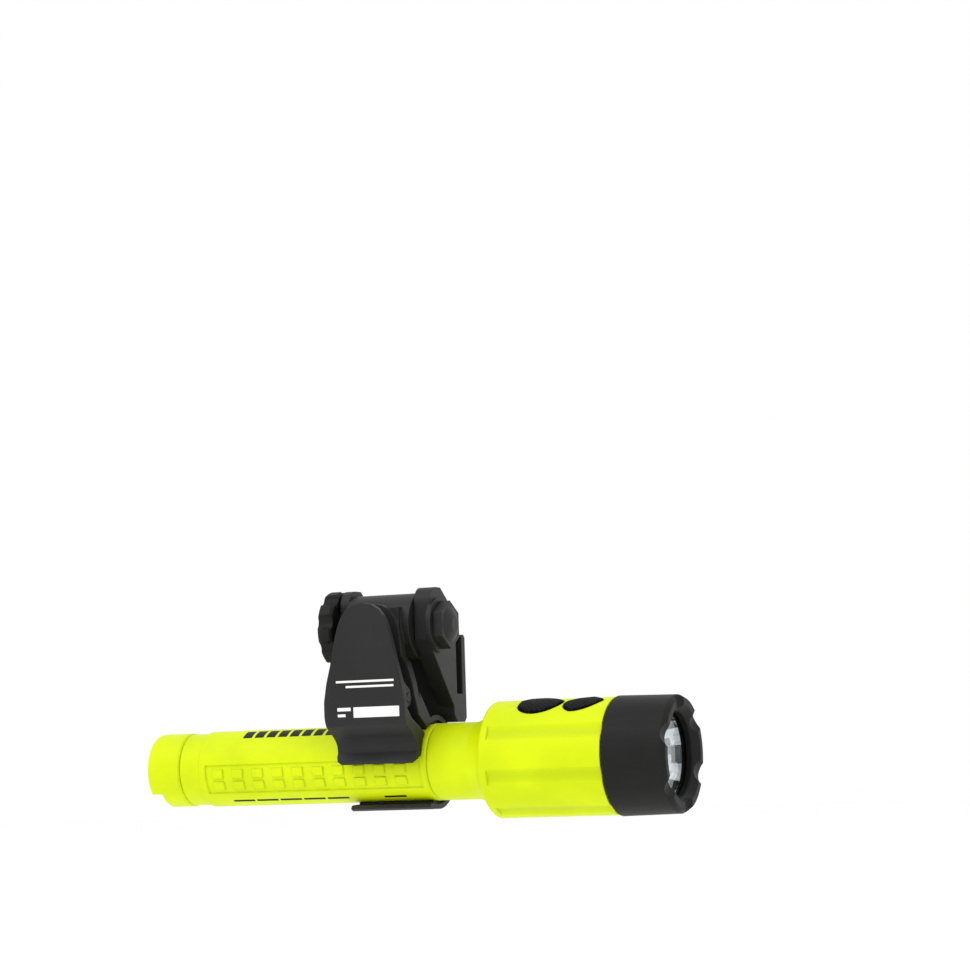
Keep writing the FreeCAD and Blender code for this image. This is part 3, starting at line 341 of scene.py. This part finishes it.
def cell_sleeve():
    """Printed shrink sleeve on the cells: dark body and a plain copper band at the contact end."""
    made, tree, shader, where = new_material("printed shrink sleeve")
    along = add(tree, "ShaderNodeSeparateXYZ", links={"Vector": where}).outputs["X"]
    end = math_node(tree, "PINGPONG", math_node(tree, "ADD", along, -CELL_JOINT), CELL_LEN)
    band = math_node(tree, "LESS_THAN", end, CELL_BAND)
    wear = noise(tree, where, 3, 4)
    body = ramp(tree, wear, [(0.3, srgb("#1A1B1E")), (0.7, srgb("#26282C"))])
    tree.links.new(blend(tree, band, body, srgb("#B5763A")), shader.inputs["Base Color"])
    tree.links.new(math_node(tree, "MULTIPLY_ADD", wear, 0.2, 0.25), shader.inputs["Roughness"])
    shader.inputs["Metallic"].default_value = 0.4
    return made


# Plain bars stand where the real light and clip carry print: (x, half length, z, half height) in mm.
TUBE_BARS = ([(-51.4 + 4.4 * k, 1.7, -21.9, 1.1) for k in range(8)]
             + [(-53.6 + 8.8 * k, 4, -43.9, 0.3) for k in range(5)] + [(2.5, 4, -43.9, 0.3)])
PLATE_BARS = [(1.5, 10.4, -6.2, 0.35), (3.2, 8.6, -7.9, 0.35), (5.4, 8.2, -16.3, 1.7),
              (-6.2, 2.4, -15.2, 0.55), (-7.1, 1.4, -17.2, 0.45)]

LIME, LIME_DARK, LIME_WORN = srgb("#DCEF00"), srgb("#D2E500"), srgb("#E6F622")
BLACK, BLACK_DARK, BLACK_WORN = srgb("#202021"), srgb("#1A1A1B"), srgb("#3C3C3D")

NYLON = {"light": LIME, "dark": LIME_DARK, "rough": 0.45, "worn": LIME_WORN, "gloss": 0.18}
FILLED_NYLON = {"light": BLACK, "dark": BLACK_DARK, "rough": 0.46, "worn": BLACK_WORN, "gloss": 0.3,
                "grain_depth": 0.05}

lime = moulded("high visibility nylon, satin moulded", edge_mm=0.6, **NYLON)
lime_printed = moulded("high visibility nylon with pad print", edge_mm=0.7, bars=TUBE_BARS,
                       ink=srgb("#17180F"), **NYLON)
lime_fluted = fluted(moulded("high visibility nylon, fluted head", edge_mm=0.6, **NYLON))
black = moulded("black glass filled nylon, satin moulded", edge_mm=0.6, **FILLED_NYLON)
black_printed = moulded("black glass filled nylon with white pad print", edge_mm=0.8, bars=PLATE_BARS,
                        ink=srgb("#F2F2F0"), **FILLED_NYLON)
rubber = moulded("black moulded rubber", srgb("#161514"), srgb("#111110"), 0.5, grain_mm=0.35,
                 grain_depth=0.05, worn=srgb("#2C2B2A"), edge_mm=0.7, gloss=0.22)
switch_plastic = moulded("gloss black switch plastic", srgb("#1E1E20"), srgb("#18181A"), 0.25)
keys = hatched_rubber()
dark_steel = metal("black oxide steel", srgb("#2C2D2F"), srgb("#1D1E20"), 0.4)
steel = metal("zinc plated steel", srgb("#C3C5C8"), srgb("#A4A7AB"), 0.32)
brass = metal("turned brass", srgb("#CDA85C"), srgb("#B18E46"), 0.28)
sink = metal("turned aluminium", srgb("#D5D7DA"), srgb("#BFC2C6"), 0.35)
cup = mirror_cup()
window = clear_plastic("clear polycarbonate window")
ribbed_window = clear_plastic("ribbed polycarbonate window", 1.3)
board = circuit_board()
phosphor = phosphor_dome()
sleeve = cell_sleeve()

FINISH = {
    lime: ["tail_cap"],
    lime_fluted: ["head_housing"],
    lime_printed: ["battery_tube"],
    black: ["brim_bracket", "hinge_bolt", "clip_rear_jaw"],
    black_printed: ["clip_front_lever"],
    rubber: ["bezel", "knob", "clamp_pad", "jaw_pad_rear", "jaw_pad_front", "tail_o_ring", "bezel_o_ring",
             "lens_gasket", "flood_gasket"],
    keys: ["rear_button", "front_button"],
    switch_plastic: ["rear_switch", "front_switch", "rear_plunger", "front_plunger"],
    steel: ["clamp_screw", "clip_spring", "tail_spring"],
    dark_steel: ["pivot_pin", "knob_washer"],
    brass: ["clamp_insert", "knob_insert", "tail_contact_plate", "front_contact"],
    sink: ["heat_sink"],
    cup: ["reflector"],
    window: ["lens"],
    ribbed_window: ["flood_lens"],
    board: ["led_board", "driver_board", "switch_board", "flood_board"],
    phosphor: ["led_emitter", "flood_leds"],
    sleeve: ["battery_cell_rear", "battery_cell_front"],
}


def assign(piece, material):
    piece.data.materials.clear()
    piece.data.materials.append(material)


for material, names in FINISH.items():
    for name in names:
        assign(nodes[name], material)


# ------------------------------------------------------------------ pieces shaped here

def start_piece(name, vertices, radius, x):
    """A ring of vertices about the light's axis at a station, left in edit mode with all of it selected."""
    bpy.ops.object.select_all(action="DESELECT")
    bpy.ops.mesh.primitive_circle_add(vertices=vertices, radius=radius, location=(x, LIGHT_Y, LIGHT_Z),
                                      rotation=(0, math.radians(90), 0))
    piece = bpy.context.object
    piece.name = name
    bpy.ops.object.transform_apply(location=True, rotation=True, scale=True)
    bpy.ops.object.mode_set(mode="EDIT")
    bpy.ops.mesh.select_all(action="SELECT")
    return piece


def draw_on(stations):
    """Pull the selected ring through (x, radius) stations, starting from the first one."""
    for (x0, r0), (x1, r1) in zip(stations, stations[1:]):
        bpy.ops.mesh.extrude_edges_move()
        bpy.ops.transform.translate(value=(x1 - x0, 0, 0))
        bpy.ops.transform.resize(value=(1, r1 / r0, r1 / r0), center_override=(x1, LIGHT_Y, LIGHT_Z))


def close_piece(smooth_deg):
    """Merge the seam, turn the faces outward, leave edit mode, and smooth below an angle unless it is 0."""
    bpy.ops.mesh.select_all(action="SELECT")
    bpy.ops.mesh.remove_doubles(threshold=0.01 * MM)
    bpy.ops.mesh.normals_make_consistent(inside=False)
    bpy.ops.object.mode_set(mode="OBJECT")
    if smooth_deg:
        bpy.ops.object.shade_smooth_by_angle(angle=math.radians(smooth_deg))


def faceted_reflector():
    """Dished cup of flat facets, as in a lamp that trades a hard spot for an even beam."""
    low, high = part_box("reflector")
    rear, front = low[0], high[0]
    flange_back, rim, wall = front - 1.0 * MM, high[2] - LIGHT_Z, 0.8 * MM
    dish = []
    for step in range(CUP_RINGS + 1):
        radius = CUP_THROAT + (CUP_MOUTH - CUP_THROAT) * step / CUP_RINGS
        share = (radius ** 2 - CUP_THROAT ** 2) / (CUP_MOUTH ** 2 - CUP_THROAT ** 2)
        dish.append((rear + (front - rear) * share, radius))
    waist_x, waist_r = rear + 0.35 * (front - rear), 0.66 * CUP_MOUTH
    back = [(flange_back, rim), (flange_back, CUP_MOUTH + wall), (waist_x, waist_r + wall),
            (rear, CUP_THROAT + wall), (rear, CUP_THROAT)]
    piece = start_piece("reflector_cup", CUP_SECTORS, CUP_THROAT, rear)
    draw_on(dish + [(front, rim)] + back)
    close_piece(0)
    assign(piece, cup)
    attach(piece, "light")
    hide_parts("reflector")


def bezel_thread():
    """Thread ridge that the bezel screws onto: a small wedge swept round the front of the head."""
    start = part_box("head_housing")[1][0] - 8.6 * MM
    root_r, ridge = THREAD_R - 0.02 * MM, 0.24 * MM
    bpy.ops.object.select_all(action="DESELECT")
    bpy.ops.mesh.primitive_circle_add(vertices=3, radius=ridge, location=(start, LIGHT_Y, LIGHT_Z),
                                      rotation=(math.radians(90), 0, 0))
    piece = bpy.context.object
    piece.name = "bezel_thread"
    bpy.ops.object.transform_apply(location=False, rotation=True, scale=True)
    bpy.ops.object.mode_set(mode="EDIT")
    bpy.ops.mesh.select_all(action="SELECT")
    bpy.ops.transform.translate(value=(0, 0, root_r))
    bpy.ops.object.mode_set(mode="OBJECT")
    sweep = piece.modifiers.new("thread", "SCREW")
    sweep.axis = "X"
    sweep.angle = math.radians(360) * THREAD_TURNS
    sweep.screw_offset = THREAD_PITCH * THREAD_TURNS
    sweep.steps = sweep.render_steps = 64 * THREAD_TURNS
    bpy.ops.object.modifier_apply(modifier="thread")
    bpy.ops.object.transform_apply(location=True, rotation=True, scale=True)
    bpy.ops.object.mode_set(mode="EDIT")
    bpy.ops.mesh.select_all(action="DESELECT")
    bpy.ops.mesh.select_non_manifold()
    bpy.ops.mesh.fill()
    close_piece(50)
    assign(piece, lime)
    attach(piece, "light")


def solder_pads():
    """Two bevelled solder pads on the front of the board that carries the main emitter."""
    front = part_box("led_board")[1][0]
    thick, width, height = 0.3 * MM, 1.6 * MM, 2.4 * MM
    for name, y in (("solder_pad_left", -5.2), ("solder_pad_right", 5.2)):
        bpy.ops.object.select_all(action="DESELECT")
        bpy.ops.mesh.primitive_cube_add(size=1, location=(front + 0.15 * MM, LIGHT_Y + y * MM, LIGHT_Z),
                                        scale=(thick, width, height))
        piece = bpy.context.object
        piece.name = name
        bpy.ops.object.transform_apply(location=True, rotation=True, scale=True)
        bpy.ops.object.mode_set(mode="EDIT")
        bpy.ops.mesh.select_all(action="SELECT")
        bpy.ops.mesh.bevel(offset=0.12 * MM, segments=3, affect="EDGES")
        close_piece(40)
        assign(piece, steel)
        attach(piece, "light")


faceted_reflector()
solder_pads()
bezel_thread()


# ------------------------------------------------------------------ floor, light, camera

FLOOR_DROP = 80 * MM                          # below the object, so that it throws no hard shadow
KEY_PLACE, KEY_POWER, KEY_WIDTH = Vector((-0.5, -1.0, 1.3)), 6, 0.8
CAMERA_PLACE = Vector((0.4335, -0.94966, -0.03997))
CAMERA_LOOK = Vector((-0.38868, 0.91644, 0.09524))
CAMERA_UP = Vector((0.06508, -0.07581, 0.99500))
CAMERA_LENS = 114.8


def place(name, data):
    holder = bpy.data.objects.new(name, data)
    bpy.context.scene.collection.objects.link(holder)
    return holder


def studio():
    """Plain pale floor, an even white surround and one broad soft lamp above and in front."""
    low = min(corner[2] for corner in cad_bounds)
    bpy.ops.object.select_all(action="DESELECT")
    bpy.ops.mesh.primitive_plane_add(size=12, location=(0, 1.5, low - FLOOR_DROP))
    floor = bpy.context.object
    floor.name = "floor"
    made, _, shader, _ = new_material("plain pale floor")
    shader.inputs["Base Color"].default_value = srgb("#FFFFFF")
    shader.inputs["Roughness"].default_value = 0.9
    assign(floor, made)
    world = bpy.data.worlds.new("studio")
    bpy.context.scene.world = world
    world.use_nodes = True
    surround = world.node_tree.nodes["Background"]
    surround.inputs["Color"].default_value = srgb("#FFFFFF")
    surround.inputs["Strength"].default_value = 1.0
    lamp = bpy.data.lights.new("key", "AREA")
    lamp.energy, lamp.size = KEY_POWER, KEY_WIDTH
    holder = place("key", lamp)
    holder.location = KEY_PLACE
    holder.rotation_euler = (-KEY_PLACE).to_track_quat("-Z", "Y").to_euler()
    bpy.context.scene.view_settings.view_transform = "Standard"


def camera():
    lens = bpy.data.cameras.new("camera")
    lens.sensor_fit = "HORIZONTAL"
    lens.sensor_width = 36
    lens.lens = CAMERA_LENS
    holder = place("camera", lens)
    forward = CAMERA_LOOK.normalized()
    right = forward.cross(CAMERA_UP).normalized()
    turn = Matrix((right, right.cross(forward), -forward)).transposed()
    holder.matrix_world = Matrix.Translation(CAMERA_PLACE) @ turn.to_4x4()
    bpy.context.scene.camera = holder


studio()
camera()

bpy.context.view_layer.update()
